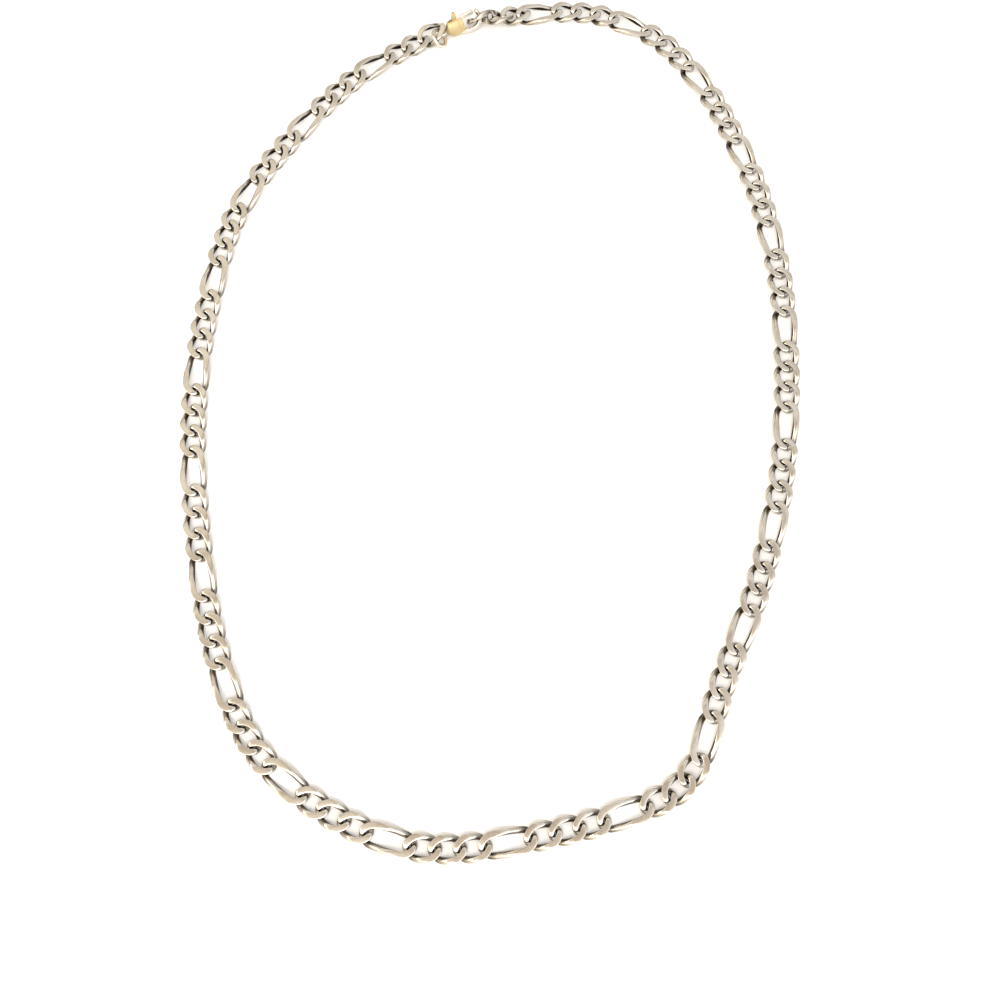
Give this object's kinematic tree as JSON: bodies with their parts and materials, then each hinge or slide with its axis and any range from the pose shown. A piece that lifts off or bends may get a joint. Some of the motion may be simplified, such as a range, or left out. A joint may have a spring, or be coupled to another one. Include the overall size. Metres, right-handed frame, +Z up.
{
  "type": "figaro chain",
  "caption": "Neck chain of flat twisted links, one long after three short, closed in a lying loop by a jump ring and a lobster clasp with a hinged lever.",
  "frame": {"origin": "centre of the lying loop's bounding box, on the surface that it lies on", "axes": "+Z up, +Y towards the clasp, +X to the right as seen from above with the clasp away from the viewer"},
  "size_m": [0.1506, 0.2252, 0.0062],
  "materials": {
    "silver": "polished sterling silver",
    "gold": "polished gold plate, with a silver claw"
  },
  "bodies": {
    "necklace": {"chain_left": "silver", "chain_right": "silver", "jump_ring": "silver", "clasp_body": "gold", "clasp_pin": "silver"},
    "lever": {"clasp_lever": "silver"}
  },
  "joints": [
    {"name": "lever_hinge", "type": "hinge", "parent": "necklace", "child": "lever", "pos_m": [-0.01103, 0.10352, 0.00306], "axis": [-0.2053, 0.8488, -0.4872], "range_deg": [0, 12], "stiffness_Nm_per_rad": 0.002, "springref_deg": -5.73}
  ]
}
